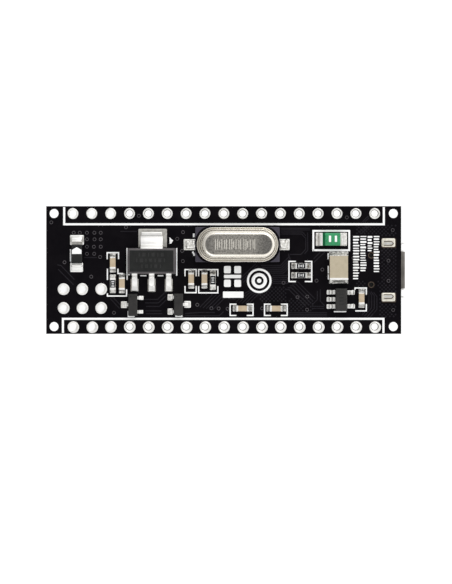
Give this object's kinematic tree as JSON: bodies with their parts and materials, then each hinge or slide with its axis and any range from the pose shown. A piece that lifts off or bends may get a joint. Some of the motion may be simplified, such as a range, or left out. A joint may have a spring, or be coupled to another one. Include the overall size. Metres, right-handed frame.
{
  "type": "microcontroller development board",
  "caption": "Small black microcontroller board with two rows of open header holes, a micro-USB socket at one end, a crystal, regulators and a reset button.",
  "frame": {"origin": "middle of the circuit board in plan, on the plane the part rests on, which is the back of the USB shell; the USB lip overhangs one end, so the middle of the whole box is 0.27 mm further along +X", "axes": "+X along the board towards the USB socket, +Y across the board, +Z out of the supply side, the side with the crystal and the regulators"},
  "size_m": [0.0483, 0.0172, 0.0083],
  "materials": {
    "circuit_board": "black solder mask with tinned lands and white print",
    "moulded_black": "matt moulding compound",
    "tinned_metal": "bright tin and solder",
    "crystal_nickel": "drawn nickel-plated sheet",
    "crystal_plate": "dark moulded plate",
    "quartz": "clear polished strip",
    "tan_ceramic": "fired tan ceramic",
    "pale_ceramic": "fired grey-beige ceramic",
    "resistor_black": "black glaze on ceramic",
    "fuse_green": "green lacquer",
    "socket_steel": "plated sheet steel",
    "gold_contact": "thin gold plate",
    "button": "moulded cream plastic",
    "spring_steel": "rolled spring strip",
    "light_lens": "milky cast resin",
    "ferrite": "dark sintered ferrite"
  },
  "bodies": {
    "board": {"circuit_board": "circuit_board", "crystal_can": "crystal_nickel", "crystal_header": "crystal_nickel", "crystal_quartz": "quartz", "crystal_insulator": "crystal_plate", "crystal_lead_left": "tinned_metal", "crystal_lead_right": "tinned_metal", "regulator_5v_case": "moulded_black", "regulator_5v_tab": "tinned_metal", "regulator_5v_lead_left": "tinned_metal", "regulator_5v_lead_right": "tinned_metal", "regulator_3v3": "moulded_black", "transistor_q1": "moulded_black", "transistor_q2": "moulded_black", "polarity_diode": "moulded_black", "resettable_fuse": "fuse_green", "input_capacitor": "pale_ceramic", "capacitor_c1": "tan_ceramic", "capacitor_c2": "tan_ceramic", "capacitor_c3": "tan_ceramic", "capacitor_c4": "tan_ceramic", "capacitor_c5": "tan_ceramic", "capacitor_c6": "tan_ceramic", "capacitor_c7": "tan_ceramic", "capacitor_c8": "tan_ceramic", "capacitor_c9": "tan_ceramic", "capacitor_c10": "tan_ceramic", "capacitor_c11": "tan_ceramic", "resistor_r1": "resistor_black", "resistor_r2": "resistor_black", "resistor_r3": "resistor_black", "resistor_r4": "resistor_black", "usb_shell": "socket_steel", "usb_insulator": "moulded_black", "usb_contact_1": "gold_contact", "usb_contact_2": "gold_contact", "usb_contact_3": "gold_contact", "usb_contact_4": "gold_contact", "usb_contact_5": "gold_contact", "microcontroller": "moulded_black", "reset_switch_base": "moulded_black", "reset_switch_cover": "spring_steel", "reset_switch_dome": "spring_steel", "reset_switch_terminal_1": "tinned_metal", "reset_switch_terminal_2": "tinned_metal", "led_power": "light_lens", "led_user": "light_lens", "led_transmit": "light_lens", "led_receive": "light_lens", "resistor_array_1": "resistor_black", "resistor_array_2": "resistor_black", "usb_protector_plus": "ferrite", "usb_protector_minus": "ferrite", "ferrite_bead": "ferrite"},
    "reset_button": {"reset_switch_plunger": "button"}
  },
  "joints": [
    {"name": "reset_press", "type": "slide", "parent": "board", "child": "reset_button", "axis": [0, 0, 1], "range_m": [0, 0.00025], "deforming": ["reset_switch_dome"]}
  ]
}
